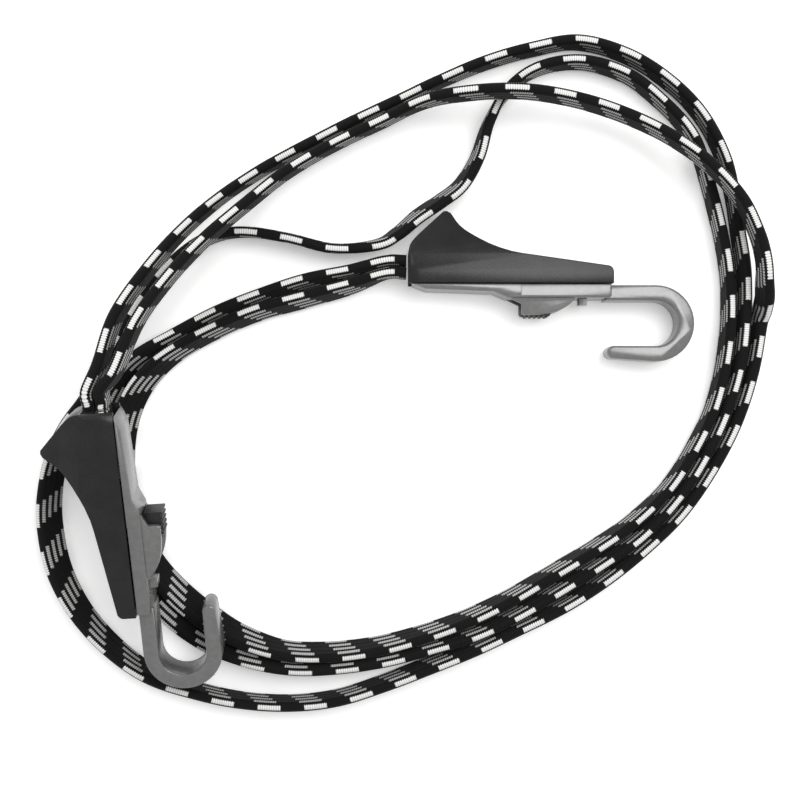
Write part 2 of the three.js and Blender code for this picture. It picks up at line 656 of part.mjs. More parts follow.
function hookAssembly(which) {
  const assembly = new THREE.Group();
  const { slid } = hookPlaces[which];
  placeMatrix(hookPlaces[which]).decompose(assembly.position, assembly.quaternion, assembly.scale);
  const turnPin = crossPin(turnBar.x, turnBar.y, turnBar.radius, turnBar.halfLength, turnBar.sides);
  const pivotPin = crossPin(rocker.pivotX, rocker.pivotY, rockerPin.radius, rockerPin.halfLength,
    rockerPin.sides);
  const movedSlider = releaseSlider().translate([-slid * slider.travel, 0, 0]);
  assembly.add(
    named(`hook_body_${which}`, geometryOf(hookBody()), 'nylon'),
    named(`grip_cover_${which}`, geometryOf(gripCover()), 'grip'),
    named(`turn_bar_${which}`, geometryOf(turnPin), 'steel'),
    named(`lock_rocker_${which}`, geometryOf(turnedRocker(slid)), 'steel'),
    named(`rocker_pin_${which}`, geometryOf(pivotPin), 'steel'),
    named(`release_slider_${which}`, geometryOf(movedSlider), 'slider'),
    named(`cover_screw_${which}`, geometryOf(coverScrew()), 'steel'),
    named(`strap_turn_${which}`, strapTurn(), 'strap'),
  );
  return assembly;
}

// A strand's row at a hook's mouth: its place, and the lean that keeps it flat against the strap's turn
function mouthRow(which, level, out, outward) {
  const matrix = placeMatrix(hookPlaces[which]);
  const place = new THREE.Vector3(mouthX - mouthGap - out, level, 0).applyMatrix4(matrix);
  const [alongHook, , acrossHook] = [0, 1, 2].map((i) => new THREE.Vector3().setFromMatrixColumn(matrix, i));
  const along = alongHook.multiplyScalar(outward ? -1 : 1);
  const side = new THREE.Vector3().crossVectors(along, new THREE.Vector3(0, 0, 1)).normalize();
  const rise = new THREE.Vector3().crossVectors(side, along);
  const width = acrossHook.multiplyScalar(Math.sign(acrossHook.z));
  return [...place.toArray(), THREE.MathUtils.radToDeg(Math.atan2(width.dot(side), width.dot(rise)))];
}

function strand(name, level) {
  const [first, last] = ['one', 'two'].map((which) => (
    leadOuts[which].map((out) => mouthRow(which, level, out, which === 'one'))));
  return strandFrames([...first, ...middleRows(strandRows[name]), ...last.reverse()]);
}

const longStrand = strand('long', strandLevel(-1));
const shortStrand = strand('short', strandLevel(1));
const loopSkip = 2 * stationsPerSpan + 2;
const gapReach = strapWidth;
const gapText = (gap) => (gap > gapReach ? `over ${gapReach} mm` : `${gap.toFixed(2)} mm`);
console.log(`least gap of strap_long to itself: ${gapText(leastGap(longStrand, longStrand, loopSkip))}`);
console.log(`least gap of strap_short to itself: ${gapText(leastGap(shortStrand, shortStrand, loopSkip))}`);
console.log(`least gap between the strands: ${gapText(leastGap(longStrand, shortStrand))}`);
console.log(`rocker lift: ${THREE.MathUtils.radToDeg(rockerLift).toFixed(3)} degrees`);

const bungeeCord = new THREE.Group();
bungeeCord.add(
  hookAssembly('one'),
  hookAssembly('two'),
  named('strap_long', bandGeometry(longStrand), 'strap'),
  named('strap_short', bandGeometry(shortStrand), 'strap'),
);

export default bungeeCord;
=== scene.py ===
# %% [markdown]
# # Dressing a bungee cord
#
# The packed CAD model gives the frame: two moulded hooks and a flat elastic strap that lies in
# loose turns between them. This script lays the woven strap along the same route,
# dresses the hooks in moulded plastic, and lights them much as the photograph does.
#
# Lengths are in metres, +Z is up, and the surface that the cord lies on is z = 0.

# %% Frame
import math

import bpy
import numpy as np
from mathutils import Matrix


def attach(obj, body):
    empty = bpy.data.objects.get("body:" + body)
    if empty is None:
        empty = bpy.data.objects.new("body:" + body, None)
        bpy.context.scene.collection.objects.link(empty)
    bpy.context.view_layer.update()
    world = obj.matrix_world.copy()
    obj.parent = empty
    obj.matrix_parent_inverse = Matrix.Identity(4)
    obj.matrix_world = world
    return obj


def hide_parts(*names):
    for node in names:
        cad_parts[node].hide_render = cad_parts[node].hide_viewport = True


MM = 0.001

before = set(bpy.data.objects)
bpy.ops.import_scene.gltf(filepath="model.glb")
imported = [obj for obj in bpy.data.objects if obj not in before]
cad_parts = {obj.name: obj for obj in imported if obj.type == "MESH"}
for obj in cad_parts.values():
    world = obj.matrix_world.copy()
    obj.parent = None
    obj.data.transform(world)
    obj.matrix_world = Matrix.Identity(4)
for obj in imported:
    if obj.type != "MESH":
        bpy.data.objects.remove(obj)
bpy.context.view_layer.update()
print("nodes in the frame:", len(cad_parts))


def linked(name, data):
    """A new object that carries the data, linked to the scene."""
    made = bpy.data.objects.new(name, data)
    bpy.context.scene.collection.objects.link(made)
    return made


# %% [markdown]
# ## Camera
#
# The picture was taken from straight above and from close by, so what stands higher looks
# larger. A camera could be matched by eye in the viewport, or solved from marked points. Here
# it follows from four values, because the same four turn the strap's traced pixels into places:
# the picture's middle pixel looks at `OVER`, the camera stands `HEIGHT` above the surface, and
# one pixel covers `FLOOR_SCALE` of it. Half the field of view is therefore atan(MIDDLE *
# FLOOR_SCALE / HEIGHT).

# %% Camera
MIDDLE = 400
HEIGHT = 480 * MM
FLOOR_SCALE = 0.3945 * MM
OVER = np.array([8.54, 17.61]) * MM
SENSOR = 36
NEAREST = 10 * MM
FARTHEST = 20

camera_data = bpy.data.cameras.new("camera")
camera_data.sensor_width = SENSOR
camera_data.lens = SENSOR / 2 * HEIGHT / (MIDDLE * FLOOR_SCALE)
camera_data.clip_start = NEAREST
camera_data.clip_end = FARTHEST
camera = linked("camera", camera_data)
camera.location = (*OVER, HEIGHT)
bpy.context.scene.camera = camera
bpy.context.scene.view_settings.view_transform = "Standard"
print("lens in mm:", round(camera_data.lens, 2))

# %% [markdown]
# ## The strap's route
#
# The real strap is one closed loop of flat elastic webbing. It stands on its edge in three and
# a half loose turns, so from above its upper edge shows nearly all the way. A simulation could
# drop a band, but it would find turns of its own, and a curve drawn by eye would lose the
# heights. So the upper edge is traced, because a traced pixel and a height give one
# place under the camera.
#
# The rows repeat the route of the part's source: pixels across and down of the strap's upper
# edge, its lean in degrees and the height of its lower edge in millimetres. A positive lean
# tips the upper edge to the right-hand side of the way the strap runs, from hook one to hook
# two.
#
# `BAR` is where the steel bar stands in a hook's own axes, `SPREAD` is how far each strand's
# middle is from it at the mouth, and `LEAD_OUTS` says how many millimetres out of each mouth
# the strap still runs straight.

# %% Sizes and traced rows
STRAP_WIDTH = 12 * MM
STRAP_THICKNESS = 4 * MM
FLOOR_GAP = 0.4 * MM
MOUTH_GAP = 0.7 * MM
SEAT_GAP = 0.3 * MM
HOOK_LENGTH = 78.4 * MM
BAR = np.array([-52.8, 6.7]) * MM
BAR_RADIUS = 1.2 * MM
SPREAD = 2.4 * MM
LEAD_OUTS = {"one": (0, 8), "two": (0, 2, 6)}
HOOK_PLACES = {
    "one": {"place": (90.04, 62.21, 8.7), "heading": 0, "dip": 0, "roll": 0, "side": 1},
    "two": {"place": (-88.97, -60.61, 24.3), "heading": -86.89, "dip": 14.97, "roll": -2,
            "side": -1},
}
STRANDS = {
    "long": [
        (351, 281.5, 12, 1), (303, 294, 16, 0), (256, 307, 16, 0), (213, 325, 16, 0),
        (171, 347, 20, 0), (142, 369, 30, 0), (123, 394, 38, 0), (112, 425, 41, 0),
        (109, 460, 40, 0), (113, 500, 36, 0), (125, 538, 36, 0), (144, 573, 40, 0),
        (168, 602, 46, 0), (199, 627.5, 46, 0), (234, 645, 31, 0), (279, 658, 20, 0),
        (325, 660.5, 20, 0), (374.5, 654.5, 18, 0), (421.5, 642, 16, 0), (468, 625, 14, 0),
        (511, 604, 12, 0), (553, 579, 10, 0), (596, 552.5, 8, 0), (635, 525, 6, 0),
        (671, 490, 4, 0), (696.5, 450.5, 3, 0), (716.5, 408, 2, 0), (728, 362, 2, 0),
        (733, 315, 2, 0), (731, 272, 0, 0), (725, 235, 0, 0), (714, 190, 0, 0), (697, 137, 0, 0),
        (666, 100, 0, 0), (627, 70.5, 0, 0), (580, 58, 0, 0), (537, 66, 0, 0), (508, 88, 0, 0),
        (491, 120, -6, 0), (482, 155, -14, 0), (466, 185.5, -20, 0), (445, 203, -22, 0),
        (421.5, 219, -22, 0), (399.5, 236, -18, 0), (377, 246, -12, 0), (332, 248, -6, 0),
        (284, 237, -6, 0), (240, 231, -4, 0), (205, 237, 0, 0), (177, 255, 4, 0),
        (153, 280, 6, 0), (132, 310, 8, 0), (115, 340, 10, 0), (99, 368.5, 12, 0),
        (81, 398.5, 14, 0), (62, 424, 18, 0), (48, 452, 24, 0), (39, 488, 30, 0),
        (37.5, 526, 34, 0), (47, 573, 34, 0), (70, 616, 28, 0), (103, 652, 22, 0),
        (144, 680, 14, 0), (189, 695, 8, 0), (236, 705, 6, 0), (286, 708.5, 6, 0),
        (335, 704, 8, 0), (382, 690, 10, 0), (430, 672, 12, 0), (477, 653, 12, 0),
        (521, 632, 10, 0), (565, 610, 8, 0), (606, 584, 8, 0), (645, 553, 8, 0), (683, 516, 8, 0),
        (714, 472, 8, 0), (739, 424, 8, 0), (756, 372, 8, 0), (765, 322, 8, 0), (770, 300, 5, 6),
        (770.5, 278, 3, 12.6), (768.5, 256, 1, 14.4), (761, 230, 0, 14), (744, 196, -2, 14),
        (712, 161, -2, 13.4), (671, 132, 0, 10), (625, 110, 2, 8), (577, 95, 2, 10),
        (527, 87, 2, 12.8), (476, 88, 2, 12.8), (426, 97.5, 0, 8), (379, 119.5, 0, 4),
        (332, 142, 0, 4), (286, 169, 0, 8), (244, 202, 0, 13), (203, 237, 0, 19),
        (166, 276, 0, 27), (134, 320, 0, 34), (112, 370, 0, 39),
    ],
    "short": [
        (350, 268, 8, 1), (304, 277, 12, 0), (258, 292, 14, 0), (214, 309.5, 16, 0),
        (169, 333, 20, 0), (131, 354.5, 28, 0), (106, 383, 36, 0), (91, 420, 41, 0),
        (90, 460, 40, 0), (96, 500, 36, 0), (110, 543, 36, 0), (130, 584, 40, 0),
        (160, 620, 46, 0), (201, 650, 50, 0), (249, 667, 29, 0), (295, 673.5, 19, 0),
        (342, 671.5, 18, 0), (389, 664, 16, 0), (436, 651, 14, 0), (478, 638, 12, 0),
        (520, 618, 10, 0), (562, 593, 9, 0), (606, 565, 8, 0), (645.5, 536.5, 7, 0),
        (681.5, 497.5, 6, 0), (708, 456.5, 5, 0), (728.5, 412, 3, 0), (742.5, 365, 3, 0),
        (748, 316, 3, 0), (748, 270, 2, 0), (742, 230, 0, 0), (736, 190, 0, 0), (726, 152, 0, 0),
        (703, 110, 0, 0), (669, 76, 0, 0), (628, 51, 0, 0), (580, 38, 0, 0), (534, 45, 0, 0),
        (487, 58.5, 0, 0), (441, 78, -2, 0), (397, 99, -3, 0), (352, 120, -3, 0),
        (307, 143, -3, 0), (262, 167.5, -3, 0), (218, 197, -3, 5), (178, 231.5, -2, 15),
        (142, 272, 0, 25), (112, 316, 0, 34), (95.5, 364.5, 0, 39),
    ],
}
print("traced rows:", {name: len(rows) for name, rows in STRANDS.items()})

# %% Lines of points


def directions(line):
    """Unit directions along a line of points, each from the point before to the point after."""
    step = np.vstack([line[1:2] - line[:1], line[2:] - line[:-2], line[-1:] - line[-2:-1]])
    return step / np.linalg.norm(step, axis=1)[:, None]


def distances(line):
    """How far along the line each point lies from the first: the running sum of the steps."""
    return np.concatenate([[0], np.cumsum(np.linalg.norm(np.diff(line, axis=0), axis=1))])


def smooth_rows(rows, per_span):
    """Catmull-Rom curve through the rows, with per_span points from each row to the next.

    p(t) = (2b + (c - a)t + (2a - 5b + 4c - d)t^2 + (3b - a - 3c + d)t^3) / 2, where the curve
    runs from b to c, and a and d are the rows beyond them."""
    padded = np.vstack([2 * rows[0] - rows[1], rows, 2 * rows[-1] - rows[-2]])
    a, b, c, d = (padded[i:len(rows) - 1 + i, None] for i in range(4))
    t = (np.arange(per_span) / per_span)[None, :, None]
    spans = (2 * b + (c - a) * t + (2 * a - 5 * b + 4 * c - d) * t ** 2
             + (3 * b - a - 3 * c + d) * t ** 3) / 2
    return np.vstack([spans.reshape(-1, rows.shape[1]), rows[-1:]])


CORNER_ROWS = np.array([[0.0, 0.0], [1.0, 0.0], [1.0, 1.0]])
print("a corner made smooth:", smooth_rows(CORNER_ROWS, 2).round(3).tolist())

# %% Strap's route
SPAN_POINTS = 24


def under_camera(across, down, z):
    """The points at height z that the camera sees at the pixels across and down.

    x = OVER x + (across - MIDDLE) * scale and y = OVER y + (MIDDLE - down) * scale, where
    scale = FLOOR_SCALE * (1 - z / HEIGHT)."""
    scale = FLOOR_SCALE * (1 - z / HEIGHT)
    x = OVER[0] + (across - MIDDLE) * scale
    y = OVER[1] + (MIDDLE - down) * scale
    return np.stack([x, y], -1)


def middle_rows(traced):
    """Rows of x, y, z and lean of the strap's middle, half a width down from its traced edge.

    The edge is width / 2 * cos(lean) over the middle and width / 2 * sin(lean) to its right.
    The middle is at FLOOR_GAP + lift + width / 2 * cos(lean) + thickness / 2 * |sin(lean)|."""
    across, down, lean, lift = np.array(traced, float).T
    tilt = np.radians(lean)
    rise = STRAP_WIDTH / 2 * np.cos(tilt)
    z = FLOOR_GAP + lift * MM + rise + STRAP_THICKNESS / 2 * np.abs(np.sin(tilt))
    top = under_camera(across, down, z + rise)
    along = directions(top)
    shift = (STRAP_WIDTH / 2 * np.sin(tilt))[:, None]
    middle = top - shift * np.stack([along[:, 1], -along[:, 0]], 1)
    return np.column_stack([middle, z, lean])


def hook_matrix(which):
    """A hook's own axes as columns, and its place.

    The first axis is (cos heading cos dip, sin heading cos dip, -sin dip). The second is side *
    (-sin heading, cos heading, 0), rolled about the first, and the third is square to both."""
    hook = HOOK_PLACES[which]
    a, d, r = (math.radians(hook[k]) for k in ("heading", "dip", "roll"))
    along = np.array([math.cos(a) * math.cos(d), math.sin(a) * math.cos(d), -math.sin(d)])
    across = hook["side"] * np.array([-math.sin(a), math.cos(a), 0])
    up = across * math.cos(r) + np.cross(along, across) * math.sin(r)
    return np.column_stack([along, up, np.cross(along, up)]), np.array(hook["place"]) * MM


def mouth_row(which, level, out, way):
    """The strap's row at out millimetres from a hook's mouth.

    Its lean is the angle from upright to the hook's width, so it lies flat on the strap inside."""
    axes, place = hook_matrix(which)
    point = place + axes @ np.array([-HOOK_LENGTH - MOUTH_GAP - out * MM, level, 0])
    along = axes[:, 0] * way
    side = np.cross(along, (0, 0, 1))
    side = side / np.linalg.norm(side)
    width = axes[:, 2] * np.sign(axes[2, 2])
    return [*point, math.degrees(math.atan2(width @ side, width @ np.cross(side, along)))]


def route(name, level):
    """All rows of a strand: out of hook one's mouth, along its turns, into hook two's mouth."""
    first = [mouth_row("one", level, out, -1) for out in LEAD_OUTS["one"]]
    last = [mouth_row("two", level, out, 1) for out in reversed(LEAD_OUTS["two"])]
    return np.vstack([first, middle_rows(STRANDS[name]), last])


def even_rows(rows, step):
    """The smooth curve with its points an equal step apart, and their distances along it."""
    dense = smooth_rows(rows, SPAN_POINTS)
    reach = distances(dense[:, :3])
    marks = np.linspace(0, reach[-1], int(round(reach[-1] / step)) + 1)
    return np.column_stack([np.interp(marks, reach, dense[:, k]) for k in range(4)]), marks


routes = {"long": route("long", BAR[1] - SPREAD), "short": route("short", BAR[1] + SPREAD)}
for name, rows in routes.items():
    print("strand", name, "is", round(even_rows(rows, MM)[1][-1] / MM), "mm long")

# %% [markdown]
# ## The woven strap
#
# The real strap is a row of rubber strands in a woven sleeve, so its faces carry shallow
# ridges. A curve with a profile could make it, but its texture would stretch in the bends, and
# threads modelled one by one would take millions of faces. Here each strand is one closed
# surface, swept along its route as whole arrays. Its UV map holds real lengths: U is the way
# along the strap and V the way round it, both in metres, so the weave and the dashes keep their
# size in every bend.

# %% Strap section
ROWS_ROUND = 10
ROW_POINTS = 4
CORNER_POINTS = 40
RIDGE = 0.13 * MM
RIM = 1.7 * MM


def band_section():
    """Closed outline of the band, the distance of each point round it, and the whole way round.

    Points are (thickness, width), from the middle of the upper edge. The outline is a rounded
    rectangle pushed out by RIDGE * |cos(pi * row)|, so that it dips between the woven rows."""
    half_t, half_w = STRAP_THICKNESS / 2 - RIDGE, STRAP_WIDTH / 2 - RIDGE
    corners = [(half_t - RIM, half_w - RIM, 90, 0), (half_t - RIM, RIM - half_w, 0, -90),
               (RIM - half_t, RIM - half_w, -90, -180), (RIM - half_t, half_w - RIM, -180, -270)]
    fine = []
    for x, y, start, end in corners:
        turn = np.radians(np.linspace(start, end, CORNER_POINTS))
        fine.append(np.column_stack([x + RIM * np.cos(turn), y + RIM * np.sin(turn)]))
    fine = np.vstack([[(0, half_w)], *fine, [(0, half_w)]])
    reach = distances(fine)
    count = ROWS_ROUND * ROW_POINTS
    marks = np.arange(count) / count * reach[-1]
    points = np.column_stack([np.interp(marks, reach, fine[:, k]) for k in (0, 1)])
    step = np.roll(points, -1, 0) - np.roll(points, 1, 0)
    outward = np.column_stack([-step[:, 1], step[:, 0]]) / np.linalg.norm(step, axis=1)[:, None]
    outward *= np.sign((outward * points).sum(1))[:, None]
    ridge = RIDGE * np.abs(np.cos(math.pi * np.arange(count) / ROW_POINTS))
    return points + ridge[:, None] * outward, marks, reach[-1]


ROUND_LENGTH = band_section()[2]
print("way round the strap in mm:", round(ROUND_LENGTH / MM, 2))

# %% Strap surface


def band_axes(rows):
    """Directions across the width and through the thickness of a band at each row.

    Width is cos(lean) * rise + sin(lean) * side and thickness is cos(lean) * side
    - sin(lean) * rise, where side is level and points right, and rise is square to it."""
    along = directions(rows[:, :3])
    side = np.cross(along, (0, 0, 1))
    side /= np.linalg.norm(side, axis=1)[:, None]
    rise = np.cross(side, along)
    lean = np.radians(rows[:, 3])[:, None]
    return np.cos(lean) * rise + np.sin(lean) * side, np.cos(lean) * side - np.sin(lean) * rise


def band_faces(stations, count):
    """Four corners of every face between stations, then the two flat ends as loops."""
    ring = np.arange(stations - 1)[:, None] * count
    j = np.arange(count)[None]
    k = (j + 1) % count
    quads = np.stack([ring + j, ring + count + j, ring + count + k, ring + k], -1).reshape(-1, 4)
    caps = [list(range(count)), list(range((stations - 1) * count, stations * count))[::-1]]
    return quads.tolist(), caps


def band_uv(marks, round_marks, round_length):
    """A place in metres for every face corner: U along the band, V round it."""
    count = len(round_marks)
    before, after = marks[:-1, None], marks[1:, None]
    u = np.stack([before, after, after, before], -1) + np.zeros((1, count, 1))
    round_next = np.append(round_marks[1:], round_length)
    v = np.stack([round_marks, round_marks, round_next, round_next], -1)[None] + 0 * u
    first = np.column_stack([np.full(count, marks[0]), round_marks])
    last = np.column_stack([np.full(count, marks[-1]), round_marks[::-1]])
    return np.vstack([np.stack([u, v], -1).reshape(-1, 2), first, last])


def band(name, place, width, face, marks):
    """A closed band swept along the places, with flat ends and a UV map in metres.

    Each point is place + thickness * face + width * width direction, for all places at once."""
    section, round_marks, round_length = band_section()
    points = (place[:, None] + section[None, :, :1] * face[:, None]
              + section[None, :, 1:] * width[:, None])
    quads, caps = band_faces(len(place), len(section))
    mesh = bpy.data.meshes.new(name)
    mesh.from_pydata(points.reshape(-1, 3).tolist(), [], quads + caps)
    mesh.uv_layers.new(name="length")
    uv = band_uv(marks, round_marks, round_length)
    mesh.uv_layers["length"].data.foreach_set("uv", uv.ravel())
    mesh.polygons.foreach_set("use_smooth", [True] * len(quads) + [False] * len(caps))
    mesh.update()
    return linked(name, mesh)


print("points round a band:", ROWS_ROUND * ROW_POINTS)

# %% [markdown]
# ## Strands and turns
#
# The real strap runs through each hook: in by the mouth, round a steel bar, and out again
# beside itself under the toothed rocker. One unbroken band could be drawn through both hooks.
# But the frame has the strap in four nodes, two strands in the open and one turn inside each
# hook, so each piece here takes the place of one node and is swept on its own. A strand runs
# from hook one back into hook two.

# %% Strap pieces
STATION = 1.1 * MM
TURN_POINTS = 25


def strand_piece(name, rows, node):
    """One strand of the strap, swept as a band that goes from hook one into hook two."""
    even, marks = even_rows(rows, STATION)
    width, face = band_axes(even)
    piece = band(f"woven_{name}", even[:, :3], width, face, marks)
    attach(piece, "base")
    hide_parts(node)
    return piece


def turn_piece(which):
    """The stretch of strap inside a hook: in along the lower side, round the bar, and out.

    The bend is BAR + radius * (cos, sin), a half circle round the bar, with straight ends."""
    radius = BAR_RADIUS + SEAT_GAP + STRAP_THICKNESS / 2
    turn = np.radians(np.linspace(-90, 90, TURN_POINTS))
    bend = BAR + radius * np.column_stack([np.cos(turn), np.sin(turn)])
    line = np.vstack([[(-HOOK_LENGTH, BAR[1] - SPREAD)], bend, [(-HOOK_LENGTH, BAR[1] + SPREAD)]])
    step = directions(line)
    level = np.zeros(len(line))
    axes, place = hook_matrix(which)
    points = place + np.column_stack([line, level]) @ axes.T
    face = np.column_stack([step[:, 1], -step[:, 0], level]) @ axes.T
    width = np.repeat(axes[:, 2][None], len(line), 0)
    piece = band(f"woven_turn_{which}", points, width, face, distances(line))
    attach(piece, "base")
    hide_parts(f"strap_turn_{which}")
    return piece


strap_pieces = [strand_piece(name, routes[name], f"strap_{name}") for name in ("long", "short")]
strap_pieces += [turn_piece(which) for which in ("one", "two")]
print("faces in the strap:", {piece.name: len(piece.data.polygons) for piece in strap_pieces})

# %% [markdown]
# ## Shading helpers
#
# A material can be clicked together node by node, or listed as links between numbered sockets.
# Here `Graph` writes it as formulas, because they read like the arithmetic that they stand for:
# each method adds one node and returns its output socket.

# %% Shading helpers
# The mix node keeps sockets for every kind of data. These are the numbers of the share, the first
# and the second, and of the result, for colours and for plain values.
COLOUR_INPUTS, COLOUR_OUTPUT = (0, 6, 7), 2
VALUE_INPUTS, VALUE_OUTPUT = (0, 2, 3), 0


class Graph:
    """A node tree in which arithmetic on sockets reads as a formula."""

    def __init__(self, tree):
        self.tree = tree

    def node(self, kind, **settings):
        """A new node of the kind, with the settings."""
        made = self.tree.nodes.new(kind)
        for key, value in settings.items():
            setattr(made, key, value)
        return made

    def feed(self, socket, value):
        """Links the value to the socket, or sets it there if it is a plain one."""
        if isinstance(value, bpy.types.NodeSocket):
            self.tree.links.new(value, socket)
        else:
            socket.default_value = value

    def filled(self, made, values):
        """The node's outputs, once its inputs are fed by name or number."""
        for key, value in values.items():
            self.feed(made.inputs[key], value)
        return made.outputs

    def math(self, operation, *values, clamp=False):
        """The operation on one, two or three values."""
        made = self.node("ShaderNodeMath", operation=operation, use_clamp=clamp)
        return self.filled(made, dict(enumerate(values)))[0]

    def noise(self, vector, scale, detail=2.0, roughness=0.5):
        """Noise from 0 to 1, with about scale of its waves in a metre."""
        values = {"Vector": vector, "Scale": scale, "Detail": detail, "Roughness": roughness}
        return self.filled(self.node("ShaderNodeTexNoise"), values)["Fac"]

    def step(self, value, low, high):
        """A smooth step: 0 below low, 1 above high."""
        made = self.node("ShaderNodeMapRange", interpolation_type="SMOOTHSTEP")
        return self.filled(made, {"Value": value, "From Min": low, "From Max": high})[0]

    def mix(self, share, first, second):
        """The colour that lies the share of the way from the first to the second."""
        made = self.node("ShaderNodeMix", data_type="RGBA")
        return self.filled(made, dict(zip(COLOUR_INPUTS, (share, first, second))))[COLOUR_OUTPUT]

    def blend(self, share, first, second):
        """The value that lies the share of the way from the first to the second."""
        made = self.node("ShaderNodeMix", data_type="FLOAT")
        return self.filled(made, dict(zip(VALUE_INPUTS, (share, first, second))))[VALUE_OUTPUT]

    def bump(self, height, distance, strength):
        """The normal of a surface raised by height * distance."""
        values = {"Height": height, "Distance": distance, "Strength": strength}
        return self.filled(self.node("ShaderNodeBump"), values)[0]

    def place(self):
        """The place on the object, in its own coordinates."""
        return self.node("ShaderNodeTexCoord").outputs["Object"]


def material(name, **sockets):
    """A new material with one Principled shader; sockets are constants set on the shader."""
    made = bpy.data.materials.new(name)
    made.use_nodes = True
    shader = made.node_tree.nodes["Principled BSDF"]
    for key, value in sockets.items():
        shader.inputs[key.replace("_", " ")].default_value = value
    return made, Graph(made.node_tree), shader


def dress(piece, made):
    """Gives a piece one material on all its faces."""
    piece.data.materials.clear()
    piece.data.materials.append(made)


print("formula methods:", [method for method in vars(Graph) if not method.startswith("_")])

# %% [markdown]
# ## Strap material
#
# The real sleeve is black polyester with pale reflective threads woven in. A photograph wrapped
# on as a texture would repeat its own light and blur up close, and threads as geometry are too
# many. So the pattern is a formula on the UV map, sharp at any distance and evenly spaced
# through the bends.
#
# Ten rows of thread run along the strap: one on each edge and four on each face. In each row a
# pale thread surfaces for `DASH` of every `PERIOD`, and each row starts a tenth of a period
# from its neighbour, so the dashes climb in a diagonal and close up round the strap. Cross
# threads make ribs `RIB` apart on the dashes and nibble at their long sides. The black between
# them has a diagonal weave. The edges carry wider dashes than the faces. The faces' dashes are
# also painted darker than the edges' as painted shade, standing for the shade on the strap's
# sides under light from above.

# %% Strap material values
PERIOD = 17.9 * MM
DASH = 8.7 * MM
DASH_SHARE = DASH / PERIOD
END_FADE_SHARE = 0.015
PHASE_STEP = -1 / ROWS_ROUND
WANDER_SHARE = 0.05
WANDER_SCALE = 90.0
RIB = 0.87 * MM
WEAVE = 1.1 * MM
FUZZ = {"scale": 1800.0, "detail": 3.0, "roughness": 0.7}
FACE_HALF_SHARE = 0.3
EDGE_HALF_SHARE = 0.4
NIBBLE_SHARE = 0.3
INNER_FADE_SHARE = 0.05
OUTER_FADE_SHARE = 0.03
SLEEVE_TONES = (0.002, 0.002, 0.002, 1), (0.013, 0.013, 0.014, 1)
# The faces' dash tones are painted darker than the edges' as painted shade on the strap's sides.
SHADED_FACE_TONES = (0.12, 0.12, 0.12, 1), (0.65, 0.65, 0.64, 1)
EDGE_TONES = (0.5, 0.5, 0.49, 1), (0.88, 0.88, 0.86, 1)
RIB_TONE_SHARE = 0.6
SLEEVE_ROUGHNESS = 0.82
DASH_ROUGHNESS = 0.5
THREAD_RISE = 0.35
DASH_RISE = 0.6
FUZZ_RISE = 0.25
SLEEVE_DEPTH = 0.22 * MM
SLEEVE_BUMP = 0.8
print("dash as a share of its period:", round(DASH_SHARE, 3))

# %% Strap material


def woven_rows(g, around):
    """Number of the thread row at the distance round, how far off its middle, and 1 on an edge.

    Edges are the rows whose number is a whole multiple of half the rows."""
    row = g.math("DIVIDE", around, ROUND_LENGTH / ROWS_ROUND)
    number = g.math("ROUND", row)
    off_row = g.math("ABSOLUTE", g.math("SUBTRACT", row, number))
    return number, off_row, g.math("LESS_THAN", g.math("MODULO", number, ROWS_ROUND / 2), 0.5)


def dash_length(g, along, number):
    """1 where the pale thread is on top: |fract(phase) - 1/2| * 2 is under DASH_SHARE.

    phase = along / PERIOD + number * PHASE_STEP, plus a slow wander of WANDER_SHARE."""
    drift = g.math("SUBTRACT", g.noise(g.place(), WANDER_SCALE), 0.5)
    wander = g.math("MULTIPLY", drift, WANDER_SHARE)
    start = g.math("ADD", g.math("MULTIPLY", number, PHASE_STEP), wander)
    phase = g.math("ADD", g.math("DIVIDE", along, PERIOD), start)
    swing = g.math("ABSOLUTE", g.math("SUBTRACT", g.math("FRACT", phase), 0.5))
    beat = g.math("MULTIPLY", swing, 2.0)
    gap = g.step(beat, DASH_SHARE - END_FADE_SHARE, DASH_SHARE + END_FADE_SHARE)
    return g.math("SUBTRACT", 1.0, gap)


def dash_width(g, off_row, edge_row, rib_level):
    """1 within the dash's half height of the row's middle, less where the ribs nibble at it.

    The half height is half_row * (1 - NIBBLE_SHARE + NIBBLE_SHARE * rib_level)."""
    half_row = g.blend(edge_row, FACE_HALF_SHARE, EDGE_HALF_SHARE)
    ragged = g.math("MULTIPLY", half_row,
                    g.math("MULTIPLY_ADD", rib_level, NIBBLE_SHARE, 1 - NIBBLE_SHARE))
    outside = g.step(off_row, g.math("SUBTRACT", ragged, INNER_FADE_SHARE),
                     g.math("ADD", ragged, OUTER_FADE_SHARE))
    return g.math("SUBTRACT", 1.0, outside)


def wave(g, angle):
    """A sine stretched to 0..1."""
    return g.math("MULTIPLY_ADD", g.math("SINE", angle), 0.5, 0.5)


